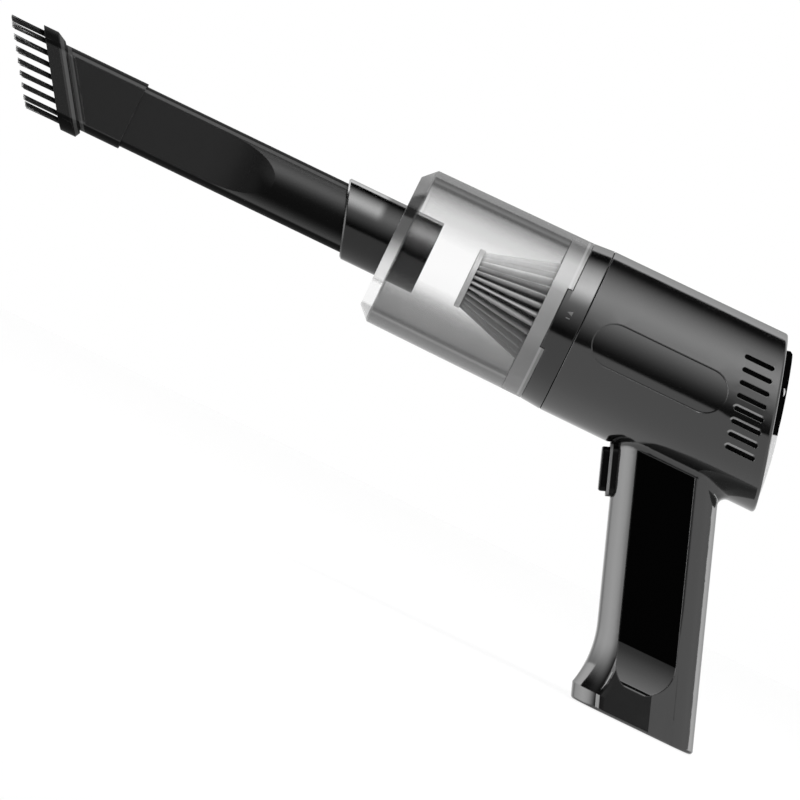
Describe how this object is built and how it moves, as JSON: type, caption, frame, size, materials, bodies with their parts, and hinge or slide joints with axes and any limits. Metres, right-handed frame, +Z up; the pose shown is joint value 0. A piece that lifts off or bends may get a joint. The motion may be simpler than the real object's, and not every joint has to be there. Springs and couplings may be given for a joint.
{
  "type": "handheld vacuum cleaner",
  "caption": "Pistol-grip cordless vacuum cleaner with a clear dust cup, pleated filter, twist-lock collar, crevice nozzle and slanted brush.",
  "frame": {"origin": "centre of the handle's flat base", "axes": "+Z up from the base to the body, +X rearward along the body, the nozzle points to -X, -Y is the cleaner's left side, which carries the pill recess"},
  "size_m": [0.3632, 0.0684, 0.1638],
  "materials": {
    "housing_plastic": "glossy dark grey",
    "screw_steel": "zinc plated",
    "inlay_black": "deep black gloss",
    "panel_plastic": "glossy dark grey",
    "foam_black": "open-cell black foam",
    "cap_black": "satin black",
    "frame_plastic": "matt black",
    "collar_plastic": "glossy dark grey",
    "cup_clear": "clear smoke tint",
    "tube_black": "glossy black",
    "seal_rubber": "black rubber",
    "nozzle_black": "satin black",
    "brush_black": "satin black",
    "bristle_black": "black nylon",
    "filter_frame": "light grey",
    "filter_paper": "pleated filter paper",
    "motor_steel": "plated can",
    "shaft_steel": "ground steel",
    "fan_plastic": "matt black",
    "board_green": "solder mask",
    "cell_wrap": "blue sleeve",
    "socket_steel": "nickel plated",
    "bezel_grey": "satin grey",
    "button_black": "satin black"
  },
  "bodies": {
    "housing": {"housing_left": "housing_plastic", "housing_right": "housing_plastic", "housing_screws": "screw_steel", "grip_inlay_left": "inlay_black", "grip_inlay_right": "inlay_black", "rear_panel": "panel_plastic", "bayonet_ring": "frame_plastic", "fan_shroud": "frame_plastic", "motor_mount": "frame_plastic", "motor": "motor_steel", "control_board": "board_green", "battery_cells": "cell_wrap", "battery_holder": "frame_plastic", "charge_socket": "socket_steel", "charge_board": "board_green", "switch_bezel": "bezel_grey", "switch_body": "frame_plastic", "collar_washer": "frame_plastic", "exhaust_foam": "foam_black"},
    "collar": {"lock_collar": "collar_plastic"},
    "cup": {"dust_cup": "cup_clear", "inlet_tube": "tube_black", "inlet_seal": "seal_rubber"},
    "nozzle": {"crevice_nozzle": "nozzle_black"},
    "brush": {"brush_head": "brush_black", "brush_bristles": "bristle_black"},
    "filter": {"filter_cap": "filter_frame", "filter_media": "filter_paper", "filter_base": "filter_frame", "filter_gasket": "seal_rubber"},
    "button": {"power_button": "button_black"},
    "rotor": {"motor_shaft": "shaft_steel", "impeller": "fan_plastic"},
    "cap": {"exhaust_cap": "cap_black"}
  },
  "joints": [
    {"name": "collar_turn", "type": "hinge", "parent": "housing", "child": "collar", "pos_m": [-0.09, 0, 0.1297], "axis": [1, 0, 0], "range_deg": [0, 22]},
    {"name": "cup_slide", "type": "slide", "parent": "collar", "child": "cup", "axis": [-1, 0, 0], "range_m": [0, 0.045]},
    {"name": "nozzle_slide", "type": "slide", "parent": "cup", "child": "nozzle", "axis": [-1, 0, 0], "range_m": [0, 0.028]},
    {"name": "brush_slide", "type": "slide", "parent": "nozzle", "child": "brush", "axis": [-1, 0, 0], "range_m": [0, 0.034]},
    {"name": "filter_slide", "type": "slide", "parent": "housing", "child": "filter", "axis": [-1, 0, 0], "range_m": [0, 0.01]},
    {"name": "button_press", "type": "slide", "parent": "housing", "child": "button", "axis": [0.9397, 0, 0.342], "range_m": [0, 0.0015], "stiffness_N_per_m": 700, "springref_m": -0.0005},
    {"name": "rotor_spin", "type": "hinge", "parent": "housing", "child": "rotor", "pos_m": [-0.07, 0, 0.1297], "axis": [1, 0, 0], "continuous": true},
    {"name": "cap_slide", "type": "slide", "parent": "housing", "child": "cap", "axis": [0.9659, 0, 0.2588], "range_m": [0, 0.0065]}
  ]
}
